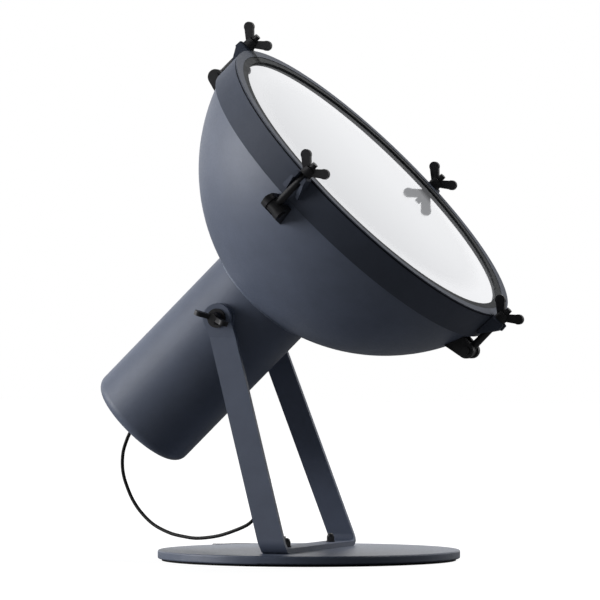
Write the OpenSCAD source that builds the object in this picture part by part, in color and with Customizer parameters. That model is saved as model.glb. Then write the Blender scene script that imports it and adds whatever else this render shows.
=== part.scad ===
// Floor lamp: a tilting bowl projector held in a bent yoke on a round base.
// Millimetres. +Z is up and +X is the way the lamp faces. The origin is the centre of the base's underside.

/* [Base] */
// Diameter of the base plate
base_d = 300; // [260:1:360]
// Thickness of the base plate
base_t = 8.4; // [6:0.2:14]
// Radius of the base plate's edges
base_edge_r = 1.5; // [0.5:0.1:2.5]
// Diameter of the pad under the base
pad_d = 292; // [240:1:296]
// Thickness of the pad under the base
pad_t = 2; // [1:0.2:4]

/* [Yoke] */
// Width of the flat bar, measured along X
bar_w = 27.2; // [22:0.2:32]
// Thickness of the flat bar
bar_t = 5; // [3:0.5:6]
// Inner radius of the folds at the strap
fold_r = 6; // [4:0.5:9]
// Width of the yoke at the folds, between the middles of the bar
foot_span = 203.6; // [180:0.2:220]
// Gap between the housing's side and each arm
arm_clear = 6.3; // [5.6:0.1:9]
// Height of the bend that sets the arm tops upright, below the pivot
upright_drop = 19; // [16:1:24]
// Radius of the round arm tops
arm_top_r = 14.6; // [13.8:0.1:17]
// Distance between the two fixings on the strap
fixing_span = 128; // [90:1:150]
// Diameter of the fixing studs
fixing_d = 4.5; // [4:0.5:8]

/* [Pivot] */
// Distance of the pivot behind the base centre
pivot_back = 72; // [50:1:90]
// Height of the pivot above the ground
pivot_z = 240; // [225:1:270]
// Elevation of the lamp's axis in the photographed position
head_elev = 44; // [30:1:60]
// Diameter of the pivot studs
stud_d = 8; // [6:0.5:10]
// Radius of the pivot bosses on the housing
boss_r = 15; // [12:0.5:16]

/* [Housing] */
// Diameter of the rear housing
housing_d = 113.6; // [108:0.2:124]
// Length of the housing behind the pivot axis
housing_back = 152; // [120:1:160]
// Length of the housing in front of the pivot axis
housing_front = 34; // [30:0.5:38]
// Radius of the rear edge
rear_r = 10; // [6:0.5:16]
// Wall of the housing and the bowl
wall = 3; // [2:0.1:4]

/* [Bowl] */
// Outer radius of the bowl's arc
bowl_r = 199.4; // [180:0.2:240]
// Diameter of the rim band
band_d = 365; // [345:0.5:385]
// Rear end of the rim band, in front of the pivot axis
band_rear = 163; // [150:0.5:175]
// Height of the bowl's edge inside the rim band
ledge_t = 3; // [2:0.5:4]

/* [Bezel and glass] */
// Length of the rim, from the band's rear end to the bezel's front face
rim_l = 31; // [29:0.5:34]
// Thickness of the bezel's flange
flange_t = 1.2; // [1:0.1:2]
// Thickness of the rim gasket
gasket_t = 1.3; // [1:0.1:2]
// Width of the bezel's face
face_w = 8.5; // [7.5:0.5:10]
// Thickness of the bezel's wall inside the rim band
sleeve_t = 1.6; // [1.2:0.1:2.2]
// Thickness of the front glass
glass_t = 3.6; // [3:0.2:5]
// How far the front glass reaches under the seal
glass_lap = 7.5; // [6:0.1:8]
// Thickness of the seal's lips
lip_t = 1.4; // [1:0.1:1.8]
// Width of the seal that shows inside the bezel's opening
lip_show = 7.5; // [6:0.5:9]
// Thickness of the glass retaining ring
retainer_t = 1.5; // [1:0.1:2.5]

/* [Clamps] */
// Distance of the clamp bolts outside the rim band
bolt_out = 6.5; // [6:0.1:8.5]
// Distance of the hinge pins behind the bezel's front face
pin_depth = 44; // [43:0.5:46]
// Diameter of the swing bolts
bolt_d = 6; // [5:0.1:6.4]
// Length of a swing bolt beyond the bezel's front face
bolt_over = 14; // [12:0.5:17]
// Diameter of the hinge pins
pin_d = 5; // [4:0.1:6]
// Radius of the swing bolt's eye
eye_r = 6.4; // [6:0.1:7]
// Width of the swing bolt's eye
eye_w = 9.4; // [8:0.2:10]
// Radius of the lugs' round ends
lug_r = 7.8; // [7.2:0.1:8.4]
// Thickness of each lug cheek
lug_t = 6; // [4:0.5:7]
// Length of a hinge pin's head beyond the lug
pin_head = 1.6; // [1:0.1:3]
// Half width of an ear at its rear end
ear_w = 11; // [10:0.5:13]
// Half width of an ear at its front end
ear_tip = 7.2; // [6.6:0.1:9]
// Width of the slot in an ear
slot_w = 8; // [7.6:0.2:10]
// Length of the ear's side gussets
gusset_l = 24; // [18:1:26]
// Thickness of the ear's seat
seat_t = 8; // [6:0.5:10]

/* [Wing nuts] */
// Radius of a wing nut's hub
hub_r = 6.4; // [5.6:0.1:7]
// Height of a wing nut's hub
hub_h = 7.6; // [7:0.2:9]
// Distance of a wing's tip centre from the bolt axis
wing_out = 13.4; // [11:0.2:15]
// Height of a wing's tip centre above the seat
wing_up = 13.6; // [12:0.2:16]
// Radius of a wing's tip
wing_r = 5; // [4.4:0.1:5.6]
// Thickness of the wings
wing_t = 4.6; // [3:0.2:6]

/* [Lamp] */
// Radius of the bulb's globe
bulb_r = 30; // [24:1:34]
// Distance of the globe's centre in front of the housing
bulb_reach = 70; // [64:1:78]
// Diameter of the lamp cap
cap_d = 26.4; // [20:0.2:28]
// Diameter of the lamp holder
holder_d = 40; // [36:1:46]
// Length of the lamp holder
holder_l = 44; // [40:1:48]
// Thickness of the plate that carries the lamp holder
plate_t = 2.5; // [2:0.5:4]
// Thickness of the reflector
reflector_t = 1; // [0.8:0.1:2]

/* [Cord] */
// Diameter of the flex
cord_d = 3.5; // [3.5:0.1:3.6]
// Turns of the put-away coil
coil_turns = 8; // [6:2:10]
// Outer radius of the put-away coil, at the cord's centre line
coil_r = 30; // [29.5:0.5:32]
// Step from turn to turn in the coil
coil_step = 4.6; // [4.5:0.1:4.8]
// Step between the coil's two layers
coil_rise = 4; // [4:0.1:4.4]
// Length of the in-line switch
switch_l = 56; // [50:1:60]
// Width of the in-line switch
switch_w = 20; // [18:0.5:24]
// Height of the in-line switch
switch_h = 14; // [13:0.5:16]
// Width of the plug
plug_w = 24; // [22:0.5:26]
// Height of the plug
plug_h = 13; // [12:0.5:14]
// Length of the plug's body
plug_l = 36; // [32:1:42]

/* [Hidden] */
$fn = 64;
// Clearances: hinge pins and studs, threads, stacked parts, moving parts
pin_fit = 0.05;
thread_fit = 0.02;
seat_gap = 0.1;
slip_gap = 0.2;
move_gap = 0.3;
// Overrun of a cutter past the face that it cuts, and a length beyond every piece
over = 1;
big = 1000;
eps = 0.01;

steel_black = "#1b1b1d";
paint = "#5d6472";
rim_paint = "#454a55";
rubber_black = "#202022";
cord_black = "#151515";

// Base and yoke
base_top = pad_t + base_t;
strap_top = base_top + bar_t;
fold_mid_r = fold_r + bar_t / 2;
fold_at = [foot_span / 2 - fold_mid_r, base_top + fold_r + bar_t];
top_span = housing_d + 2 * arm_clear + bar_t;
arm_high = [top_span / 2, pivot_z - upright_drop];
arm_run = arm_high - fold_at;
arm_tilt = atan2(-arm_run[0], arm_run[1]) + asin(fold_mid_r / norm(arm_run));
arm_out = [cos(arm_tilt), sin(arm_tilt)];
arm_low = fold_at + fold_mid_r * arm_out;
bend_out = [1, tan(arm_tilt / 2)];
fixing_washer_t = 1.2;
fixing_washer_r = fixing_d;
cap_nut_af = fixing_d + 2.4;
cap_nut_h = 4.4;
cap_nut_wall = 1;
stud_foot = pad_t + 2;
stud_l = strap_top - stud_foot + fixing_washer_t + cap_nut_h - cap_nut_wall;

// Pivot, outwards along Y
boss_in = housing_d / 2 - 10.8;
arm_in_y = top_span / 2 - bar_t / 2;
arm_out_y = top_span / 2 + bar_t / 2;
friction_t = 2;
boss_out = arm_in_y - friction_t - seat_gap;
pivot_washer_t = 1.6;
pivot_seat = arm_out_y + pivot_washer_t + seat_gap;
stud_in = boss_in + 2;
stud_out = pivot_seat + hub_h + 3;
pivot_wing_turn = 20;

// Housing, bowl and what they hold
housing_r = housing_d / 2;
collar_r = housing_r - wall - slip_gap;
collar_bore = collar_r - 8;
collar_rear = housing_front - 16;
collar_front = housing_front + 6;
neck_reach = 0.3;
neck_bevel = 1;
band_r = band_d / 2;
band_in = band_r - wall;
arc_low = [housing_r, housing_front + neck_reach];
edge_r = band_in - seat_gap;
edge_w = 5;
arc_high = [edge_r, band_rear];
arc_chord = arc_high - arc_low;
bowl_at = (arc_low + arc_high) / 2 + sqrt(pow(bowl_r, 2) - pow(norm(arc_chord) / 2, 2))
    * [-arc_chord[1], arc_chord[0]] / norm(arc_chord);
front = band_rear + rim_l;
ledge = band_rear + ledge_t;
band_front = front - flange_t - gasket_t;
plate_r = housing_r - wall - 2 * slip_gap;
screw_circle = (collar_r + collar_bore) / 2;
screw_d = 4;
screw_head_r = 3.5;
screw_head_h = 2.6;
screw_l = 9;
reflector_gap = 4;
reflector_r = bowl_r - wall - reflector_gap;
reflector_hole = holder_d / 2 + 6;
reflector_steps = 6;
holder_cap_depth = 36;
cap_l = 25;
bulb_centre = housing_front + bulb_reach;
bulb_neck = collar_rear + holder_l - holder_cap_depth + cap_l;
bulb_shoulder = collar_rear + holder_l + move_gap;
bulb_flare = 25;
block = [34, 16, 12];
block_hole_d = 4;
gland_l = 9;
gland_r = 8;
gland_thread_r = 5;
gland_hex = 4;
gland_nut_t = 4;
housing_floor = wall + 1;

// Bezel and glass
opening_r = band_r - face_w;
sight_r = opening_r - lip_show;
glass_r = sight_r + glass_lap;
spigot_r = band_in - 3 * slip_gap;
spigot_in = spigot_r - sleeve_t;
spigot_rear = ledge + reflector_t + move_gap;
seal_face = front - 0.5;
seal_front = front - flange_t - seat_gap;
glass_front = seal_front - lip_t;
glass_rear = glass_front - glass_t;
seal_rear = glass_rear - lip_t;
seal_r = spigot_in - seat_gap;
gasket_inset = 0.8;

// Clamps, each in a frame with X radial, Y tangential and Z along the lamp's axis
clamp_names = ["top", "near", "bottom", "far"];
clamp_turns = [180, 268.7, 0, 90];
wing_turns = [0, 90, 0, 90];
pin_s = front - pin_depth;
bolt_circle = band_r + bolt_out;
lug_gap = eye_w + 2 * move_gap;
bolt_end = front + bolt_over;
nut_seat = front + move_gap;
lug_foot_rear = 13;
web_share = 0.6;
seat_facets = 360;
pin_head_d = pin_d + 3;
ear_reach = bolt_circle + hub_r + 1.6;
ear_bevel = 1.4;
ear_clear = 0.8;
gusset_rear_t = 3;
ear_corner = 2;
stem_d = [8, 6.8];
stem_end = front - seat_t - over;
slot_run = 2 * lug_r;
hub_taper = 1;
wing_root = [1.5, 3.6];
wing_waist = wing_r - 1.3;
wing_shoulder = wing_r - 0.4;

// The lead runs away to the back of the lamp, hidden by the near arm, in a frame turned about Z
lead_turn = 20;
lead_x = -35;
switch_mid = 17;
switch_end = switch_mid + switch_l / 2;
switch_split = base_top + switch_h / 2;
switch_round = 1.12;
switch_screw_d = 3;
switch_screw_in = 3.6;
switch_screw_sunk = 0.6;
rocker_r = 8.6;
rocker_w = 8.4;
rocker_drop = 3.4;
rocker_z = base_top + switch_h - 6.4;
rocker_throw = 9;
axle_d = 3;
axle_l = rocker_w + 5;
cord_r = cord_d / 2;
tie_t = 0.4;
tie_w = 10;
tie_slack = 0.6;
coil_lift = tie_t + seat_gap;
lead_edge = sqrt(pow(base_d / 2, 2) - pow(lead_x, 2));
lead_z = base_top + cord_r + 0.25;
coil_centre = [lead_x - coil_r, lead_edge + 28];
coil_half = (coil_turns - 0.5) / 2;
coil_in_r = coil_r - coil_half * coil_step;
coil_low = coil_lift + cord_r;
coil_high = coil_low + coil_rise;
plug_rear = coil_centre[1] + 43;
plug_z = plug_h / 2;
plug_pin_d = 4;
plug_pin_l = 19;
plug_pin_gap = 18.6;
plug_neck_l = 10;
plug_neck_d = [plug_h - 4, cord_d + 1.6];
plug_waist = 0.55 * plug_l;

// Clip on the inner face of the near arm, and the direction of the flex in it
clip_z = 51;
clip_off = 4.5;
clip_dir = [0.53, 0.152, 0.8343];
clip_l = 9;
clip_wall = 1.6;
clip_tab = 13;
clip_tab_t = clip_wall + 0.6;
clip_screw_d = 3;
clip_head_t = 1.6;
clip_at = [-19.5, arm_face(clip_z) + clip_off, clip_z];
clip_low = clip_at - clip_l / 2 * clip_dir;
clip_high = clip_at + clip_l / 2 * clip_dir;
clip_screw_at = [clip_at[0] + clip_tab, arm_face(clip_z), clip_z];
gland_tip = head_point(-housing_back - gland_l);
gland_out = cord_d * unit(gland_tip - head_point(0));

// Route of the flex from the gland to the clip, carried along by both
gland_home = [-187.8, 0, 128.2];
clip_home = [-19.5, -89.5, 51];
loop_route = carried([[-194, 0, 118], [-198, 0, 106], [-199, 0, 93], [-197, -1, 81], [-192, -3, 69],
    [-185, -6, 57], [-174, -11, 45], [-158, -18, 33.6], [-137.5, -27, 26], [-119, -36, 23],
    [-102.5, -46, 21.7], [-85.5, -57, 23.4], [-68.5, -68.5, 26.1], [-52, -80, 30.4], [-37, -88.4, 35.4],
    [-29.4, -90.9, 39.1]],
    gland_tip - gland_home, clip_at - clip_home);
loop_path = concat([gland_tip], spline(concat([gland_tip + gland_out], loop_route,
    [clip_low - cord_d * clip_dir]), 2), [clip_low]);

// Route from the clip over a small arch and down to the switch, in the turned frame
arch_end = [lead_x, switch_mid - switch_l / 2, switch_split];
arch_route = carried([[-41.2, -77.8, 65], [-39.8, -75.6, 72.8], [-39.3, -69.8, 79], [-39.2, -61.2, 81.6],
    [-39.1, -52.6, 79.2], [-38.7, -46.4, 73], [-38.1, -43.4, 64.6], [-37.4, -41.4, 55], [-36.7, -39.4, 45],
    [-35.9, -37, 36], [-35.5, -34, 28], [-35.2, -29, 21.6], [-35.1, -22.3, 18]],
    clip_at - clip_home, [0, 0, 0]);
arch_path = concat([clip_high], spline(concat([clip_high + cord_d * clip_dir],
    [for (p = concat(arch_route, [arch_end - [0, cord_d, 0]])) turned(p)]), 2), [turned(arch_end)]);

// Route from the switch over the rim of the base to the coil, in the turned frame
supply_start = [lead_x, switch_end, switch_split];
coil_start = [lead_x, coil_centre[1], coil_low];
coil_end = [lead_x, coil_centre[1], coil_high];
supply_drop = lead_z - coil_low;
supply_flat = [for (k = [0.49, 0.66, 0.83]) [lead_x, k * lead_edge, lead_z]];
supply_steps = [[-9, 0], [-0.6, 0], [4, 0.07], [7, 0.22], [10.2, 0.5], [13.5, 0.78], [17, 0.94], [21, 1]];
supply_fall = [for (k = supply_steps)
    [lead_x, lead_edge + k[0], lead_z - k[1] * supply_drop]];
supply_line = spline(concat([supply_start + [0, cord_d, 0]], supply_flat, supply_fall), 2);
supply_path = [for (p = concat([supply_start], supply_line, [coil_start - [0, cord_d, 0]])) turned(p)];

// The coil's centre line, and the least gap between turns, over points more than half a turn apart
coil_rings = 24;
coil_path = concat([coil_start - [0, cord_d, 0]],
    [for (k = [0 : coil_rings * coil_turns]) coil_point(k / coil_rings)], [coil_end + [0, cord_d, 0]]);
coil_gap = min([for (i = [0 : len(coil_path) - 1]) for (k = [i + coil_rings / 2 : len(coil_path) - 1])
    norm(coil_path[i] - coil_path[k])]) - cord_d;
echo(coil_gap = coil_gap);

// Route from the coil to the plug, in the turned frame
plug_tail = [lead_x, plug_rear - plug_neck_l, plug_z];
plug_route = [[lead_x, coil_centre[1] + 12, plug_z], [lead_x, coil_centre[1] + 22, plug_z]];
plug_path = [for (p = concat([coil_end + [0, cord_d, 0]], spline(concat([coil_end + [0, 2 * cord_d, 0]],
    plug_route, [plug_tail - [0, cord_d, 0]]), 2), [plug_tail])) turned(p)];

// Length of the flex from the gland to the plug, through the clip and the switch
cord_length = path_length(loop_path) + path_length(arch_path) + path_length(supply_path)
    + path_length(coil_path) + path_length(plug_path) + clip_l + switch_l;
echo(cord_length = cord_length);

// Puts a shape into the tilted head: +Z along the lamp's axis, +X to the bottom of the rim
module head_frame() {
    translate([-pivot_back, 0, pivot_z])
        rotate([0, 90 - head_elev, 0])
            children();
}

// Puts a shape into clamp number i of the head
module clamp_frame(i) {
    head_frame()
        rotate([0, 0, clamp_turns[i]])
            children();
}

// Puts a shape into the frame of the lead's run: +Y away to the back
module lead_frame() {
    rotate([0, 0, lead_turn])
        children();
}

function turned(p) = [p[0] * cos(lead_turn) - p[1] * sin(lead_turn),
    p[0] * sin(lead_turn) + p[1] * cos(lead_turn), p[2]];
function unit(v) = v / norm(v);
// Route carried along by its two ends, the points between them in proportion
function carried(route, first, last) = let (n = len(route) - 1)
    [for (i = [0 : n]) route[i] + first * (1 - i / n) + last * i / n];
// Inner face of the near arm at height z
function arm_face(z) = -(arm_low[0] - (z - arm_low[1]) * tan(arm_tilt)) + bar_t / 2 / cos(arm_tilt);
function head_point(s) = [-pivot_back + s * cos(head_elev), 0, pivot_z + s * sin(head_elev)];

// Smooth line through a route's points, with its ends given as extra points
function spline_at(a, b, c, d, t) = 0.5 * (2 * b + (c - a) * t + (2 * a - 5 * b + 4 * c - d) * t * t
    + (3 * b - a - 3 * c + d) * t * t * t);
function spline(route, steps) = let (n = len(route))
    [for (i = [0 : n - 2]) for (k = [0 : steps - 1])
        spline_at(route[max(i - 1, 0)], route[i], route[i + 1], route[min(i + 2, n - 1)], k / steps),
    route[n - 1]];
function along(path, i) = unit(path[min(i + 1, len(path) - 1)] - path[max(i - 1, 0)]);
function path_length(path) = len(path) < 2 ? 0
    : [for (i = 0, sum = 0; i < len(path); sum = sum + (i + 1 < len(path) ? norm(path[i + 1] - path[i]) : 0),
        i = i + 1) sum][len(path) - 1];

// Round tube swept along a path; "across" is a direction that the path never takes
module tube(path, d, sides, across) {
    n = len(path);
    rings = [for (i = [0 : n - 1])
        let (t = along(path, i), u = unit(cross(t, across)), v = cross(t, u))
            for (k = [0 : sides - 1])
                path[i] + d / 2 * (cos(360 * k / sides) * u + sin(360 * k / sides) * v)];
    walls = [for (i = [0 : n - 2]) for (k = [0 : sides - 1])
        let (a = i * sides + k, b = i * sides + (k + 1) % sides)
            each [[a, b, b + sides], [a, b + sides, a + sides]]];
    start = [for (k = [1 : sides - 2]) [0, k + 1, k]];
    last = (n - 1) * sides;
    end = [for (k = [1 : sides - 2]) [last, last + k, last + k + 1]];
    polyhedron(points = rings, faces = concat(walls, start, end), convexity = 10);
}

// Flat rectangle with round ends, along Y
module slot_shape(l, w) {
    square([w, l - w], center = true);
    for (y = [-1, 1])
        translate([0, y * (l - w) / 2])
            circle(d = w);
}

// Washer standing on the ground plane
module washer(r, bore_r, t) {
    difference() {
        cylinder(r = r, h = t);
        translate([0, 0, -eps])
            cylinder(r = bore_r, h = t + 2 * eps);
    }
}

// Ring of rectangular section
module ring(r_in, r_out, z0, z1) {
    rotate_extrude()
        translate([r_in, z0])
            square([r_out - r_in, z1 - z0]);
}

module base_plate() {
    color(paint)
        difference() {
            rotate_extrude()
                translate([0, pad_t])
                    base_profile();
            for (y = [-1, 1])
                translate([0, y * fixing_span / 2, stud_foot])
                    cylinder(d = fixing_d + 2 * thread_fit, h = base_t);
        }
}

// Half section of the base plate with its two round edges
module base_profile() {
    square([base_d / 2 - base_edge_r, base_t]);
    translate([0, base_edge_r])
        square([base_d / 2, base_t - 2 * base_edge_r]);
    for (y = [base_edge_r, base_t - base_edge_r])
        translate([base_d / 2 - base_edge_r, y])
            circle(base_edge_r);
}

module base_pad() {
    color(rubber_black)
        cylinder(d = pad_d, h = pad_t);
}

module yoke_bracket() {
    reach = 2 * (pivot_back + bar_w);
    color(paint)
        difference() {
            intersection() {
                rotate([90, 0, 90])
                    translate([0, 0, -reach / 2])
                        linear_extrude(reach)
                            yoke_section();
                rotate([90, 0, 0])
                    translate([0, 0, -foot_span])
                        linear_extrude(2 * foot_span)
                            yoke_side();
            }
            translate([-pivot_back, 0, pivot_z])
                rotate([90, 0, 0])
                    cylinder(d = stud_d + 2 * pin_fit, h = 2 * foot_span, center = true);
            for (y = [-1, 1])
                translate([0, y * fixing_span / 2, base_top - over])
                    cylinder(d = fixing_d + 2 * move_gap, h = bar_t + 2 * over);
            clip_screw_hole();
        }
}

// Outline of the yoke seen from the side, with X to the front and Y up
module yoke_side() {
    w = bar_w / 2;
    polygon([[-w, 0], [w, 0], [w, strap_top], [w - pivot_back, pivot_z], [-w - pivot_back, pivot_z],
        [-w, strap_top]]);
    translate([-pivot_back, pivot_z])
        circle(arm_top_r);
}

// Section of the bent bar with the strap, two folds and two leaning arms, as wide as Y and as high as Z
module yoke_section() {
    half = bar_t / 2;
    top = pivot_z + 2 * arm_top_r;
    translate([-fold_at[0], base_top])
        square([2 * fold_at[0], bar_t]);
    for (side = [0, 1])
        mirror([side, 0]) {
            fold_section();
            polygon([arm_low + half * arm_out, arm_high + half * bend_out, [arm_high[0] + half, top],
                [arm_high[0] - half, top], arm_high - half * bend_out, arm_low - half * arm_out]);
        }
}

// Fold of the flat bar from the strap up into an arm
module fold_section() {
    translate(fold_at)
        difference() {
            circle(fold_r + bar_t);
            circle(fold_r);
            translate([-big, -big / 2])
                square([big, big]);
            rotate(arm_tilt)
                translate([-big / 2, 0])
                    square([big, big]);
        }
}

// Puts a shape at both yoke fixings, on top of the strap
module at_fixings() {
    for (y = [-1, 1])
        translate([0, y * fixing_span / 2, strap_top])
            children();
}

module yoke_studs() {
    color(steel_black)
        at_fixings()
            translate([0, 0, stud_foot - strap_top])
                cylinder(d = fixing_d, h = stud_l);
}

module yoke_washers() {
    color(steel_black)
        at_fixings()
            washer(fixing_washer_r, fixing_d / 2 + pin_fit, fixing_washer_t);
}

module yoke_nuts() {
    color(steel_black)
        at_fixings()
            translate([0, 0, fixing_washer_t])
                difference() {
                    union() {
                        cylinder(d = cap_nut_af / cos(30), h = cap_nut_h, $fn = 6);
                        translate([0, 0, cap_nut_h])
                            intersection() {
                                sphere(d = cap_nut_af);
                                cylinder(d = cap_nut_af, h = cap_nut_af);
                            }
                    }
                    translate([0, 0, -eps])
                        cylinder(d = fixing_d + 2 * thread_fit, h = cap_nut_h - cap_nut_wall + eps);
                }
}

module rear_housing() {
    color(paint)
        head_frame()
            difference() {
                union() {
                    rotate_extrude()
                        difference() {
                            cup_profile(housing_r, -housing_back, housing_front, rear_r);
                            cup_profile(housing_r - wall, housing_floor - housing_back, big, rear_r - wall);
                            translate([housing_r, housing_front])
                                rotate(45)
                                    square(neck_bevel * sqrt(2), center = true);
                        }
                    for (side = [-1, 1])
                        rotate([-90 * side, 0, 0])
                            translate([0, 0, boss_in])
                                cylinder(r = boss_r, h = boss_out - boss_in);
                }
                rotate([90, 0, 0])
                    cylinder(d = stud_d + 2 * thread_fit, h = 2 * big, center = true);
                translate([0, 0, -housing_back - over])
                    cylinder(r = gland_thread_r + thread_fit, h = housing_floor + 2 * over);
            }
}

// Half section of a solid cup with one round edge at its closed end
module cup_profile(r, z0, z1, edge) {
    translate([0, z0 + edge])
        square([r, z1 - z0 - edge]);
    translate([0, z0])
        square([r - edge, edge * 2]);
    translate([r - edge, z0 + edge])
        circle(edge);
}

// Half section of everything inside the bowl's arc of radius r, from z0 to z1
module arc_profile(r, hole, z0, z1) {
    intersection() {
        translate(bowl_at)
            circle(r);
        translate([hole, z0])
            square([big, z1 - z0]);
    }
}

module bowl() {
    color(paint)
        head_frame()
            difference() {
                rotate_extrude()
                    bowl_profile();
                at_plate_screws(collar_rear - over)
                    cylinder(d = screw_d + 2 * thread_fit, h = screw_l + over);
            }
}

// Half section of the bowl: collar, curved shell and the edge inside the rim band
module bowl_profile() {
    difference() {
        union() {
            arc_profile(bowl_r, collar_bore, arc_low[1], band_rear);
            translate([collar_bore, collar_rear])
                square([collar_r - collar_bore, collar_front - collar_rear]);
        }
        translate(bowl_at)
            circle(bowl_r - wall);
    }
    translate([edge_r - edge_w, band_rear - eps])
        square([edge_w, ledge_t + eps]);
}

// Rim band, a ring round the bowl's edge
module rim_band() {
    color(rim_paint)
        head_frame()
            ring(band_in, band_r, band_rear, band_front);
}

// Fork lugs behind the rim band, seated on the bowl
module clamp_lugs() {
    color(steel_black)
        difference() {
            for (i = [0 : 3])
                clamp_frame(i)
                    lug();
            for (i = [0 : 3])
                clamp_frame(i)
                    translate([bolt_circle, 0, pin_s])
                        rotate([90, 0, 0])
                            cylinder(d = pin_d + 2 * thread_fit, h = 2 * lug_gap + 4 * lug_t, center = true);
        }
}

// One lug: two cheeks with round ends, joined by a web behind the eye
module lug() {
    foot = [bowl_wall(pin_s - lug_foot_rear), pin_s - lug_foot_rear];
    top = [bowl_wall(pin_s + lug_r), pin_s + lug_r];
    end = [bolt_circle, pin_s];
    side_at = tangent(foot, end, lug_r);
    rotate([90, 0, 0]) {
        for (side = [-1, 1])
            translate([0, 0, side * (lug_gap + lug_t) / 2])
                linear_extrude(lug_t, center = true)
                    off_bowl() {
                        translate(end)
                            circle(lug_r);
                        polygon([foot, side_at, end, [end[0], top[1]], top]);
                    }
        linear_extrude(lug_gap + lug_t, center = true)
            off_bowl()
                polygon([foot, foot + web_share * (side_at - foot), [bowl_wall(pin_s - eye_r), pin_s - eye_r]]);
    }
}

// Cuts a flat section back to the bowl's outer face
module off_bowl() {
    difference() {
        union()
            children();
        translate(bowl_at)
            circle(bowl_r + seat_gap, $fn = seat_facets);
    }
}

// Middle of the bowl's wall at height s, as a radius
function bowl_wall(s) = sqrt(pow(bowl_r - wall / 2, 2) - pow(bowl_at[1] - s, 2)) + bowl_at[0];
// Point where the line from p touches the outer side of a circle round c
function tangent(p, c, r) = let (d = norm(c - p), a = atan2(c[1] - p[1], c[0] - p[0]) - asin(r / d))
    p + sqrt(d * d - r * r) * [cos(a), sin(a)];

module rim_gasket() {
    color(rubber_black)
        head_frame()
            ring(band_in, band_r - gasket_inset, band_front, band_front + gasket_t);
}

module front_bezel() {
    color(rim_paint)
        difference() {
            union() {
                head_frame() {
                    ring(opening_r, band_r, front - flange_t, front);
                    ring(spigot_in, spigot_r, spigot_rear, front - flange_t + eps);
                }
                for (i = [0 : 3])
                    clamp_frame(i)
                        ear();
            }
            for (i = [0 : 3])
                clamp_frame(i)
                    ear_slot();
        }
}

// Ear on the bezel: a tapered hood with a seat that is rounded about the hinge pin outside the bolt
module ear() {
    intersection() {
        translate([0, ear_w, 0])
            rotate([90, 0, 0])
                linear_extrude(2 * ear_w)
                    ear_section();
        rotate([90, 0, 90])
            linear_extrude(big)
                polygon([[-ear_w, front - gusset_l], [ear_w, front - gusset_l],
                    [ear_tip, front - ear_corner], [ear_tip - ear_corner, front],
                    [ear_corner - ear_tip, front], [-ear_tip, front - ear_corner]]);
    }
}

// Section of an ear along the lamp's axis: tab on the flange, seat and gussets over the band
module ear_section() {
    intersection() {
        union() {
            translate([band_r - sleeve_t, front - flange_t])
                square([ear_reach - band_r + sleeve_t, flange_t]);
            translate([band_r + ear_clear, front - seat_t])
                square([ear_reach - band_r - ear_clear, seat_t]);
            polygon([[band_r + ear_clear, front - gusset_l],
                [band_r + gusset_rear_t, front - gusset_l],
                [ear_reach - over, front - seat_t],
                [band_r + ear_clear, front - seat_t]]);
        }
        union() {
            translate([bolt_circle, pin_s])
                circle(pin_depth);
            translate([0, pin_s])
                square([bolt_circle, pin_depth]);
        }
        polygon([[0, pin_s], [ear_reach, pin_s], [ear_reach, front - ear_bevel], [ear_reach - ear_bevel, front],
            [0, front]]);
    }
}

// Slot that lets a swing bolt fall outwards, with the room between the gussets
module ear_slot() {
    translate([bolt_circle, 0, front - gusset_l - over])
        cylinder(d = slot_w, h = gusset_l + 2 * over);
    translate([bolt_circle, -slot_w / 2, front - gusset_l - over])
        cube([slot_run, slot_w, gusset_l + 2 * over]);
    translate([band_r + ear_clear, -eye_w / 2 - over, front - gusset_l - over])
        cube([slot_run, eye_w + 2 * over, gusset_l + over - seat_t]);
}

module glass_seal() {
    color(rubber_black)
        head_frame()
            rotate_extrude()
                difference() {
                    union() {
                        translate([sight_r, seal_rear])
                            square([seal_r - sight_r, seal_front - seal_rear]);
                        translate([sight_r, seal_rear])
                            square([lip_show - seat_gap, seal_face - seal_rear]);
                    }
                    translate([0, glass_rear])
                        square([glass_r, glass_t]);
                }
}

module front_glass() {
    color("white")
        head_frame()
            translate([0, 0, glass_rear])
                cylinder(r = glass_r, h = glass_t);
}

module glass_retainer() {
    color("silver")
        head_frame()
            ring(opening_r - glass_lap, seal_r, seal_rear - retainer_t, seal_rear);
}

module reflector() {
    color("silver")
        head_frame()
            rotate_extrude()
                reflector_profile();
}

// Half section of the reflector: a shell of conical steps along the bowl, and a flat rim
module reflector_profile() {
    outer = reflector_line(reflector_r);
    inner = reflector_line(reflector_r - reflector_t);
    edge = (outer[reflector_steps][0] + inner[reflector_steps][0]) / 2;
    polygon(concat(outer, [for (k = [reflector_steps : -1 : 0]) inner[k]]));
    translate([edge, ledge])
        square([band_in - move_gap - edge, reflector_t]);
}

// Corners of the conical steps on an arc of radius r round the bowl's arc centre
function reflector_line(r) = let (low = -acos((reflector_hole - bowl_at[0]) / r),
    high = asin((ledge + reflector_t - bowl_at[1]) / r))
    [for (k = [0 : reflector_steps]) let (a = low + (high - low) * k / reflector_steps)
        bowl_at + r * [cos(a), sin(a)]];

module holder_plate() {
    color("silver")
        head_frame()
            difference() {
                translate([0, 0, collar_rear - plate_t])
                    cylinder(r = plate_r, h = plate_t);
                at_plate_screws(collar_rear - plate_t - over)
                    cylinder(d = screw_d + 2 * pin_fit, h = plate_t + 2 * over);
            }
}

// Puts a shape at each screw of the holder plate
module at_plate_screws(z) {
    for (a = [0, 120, 240])
        rotate([0, 0, a])
            translate([screw_circle, 0, z])
                children();
}

module plate_screws() {
    color("silver")
        head_frame()
            at_plate_screws(collar_rear - plate_t) {
                translate([0, 0, -screw_head_h])
                    cylinder(r = screw_head_r, h = screw_head_h);
                cylinder(d = screw_d, h = plate_t + screw_l - over);
            }
}

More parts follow.
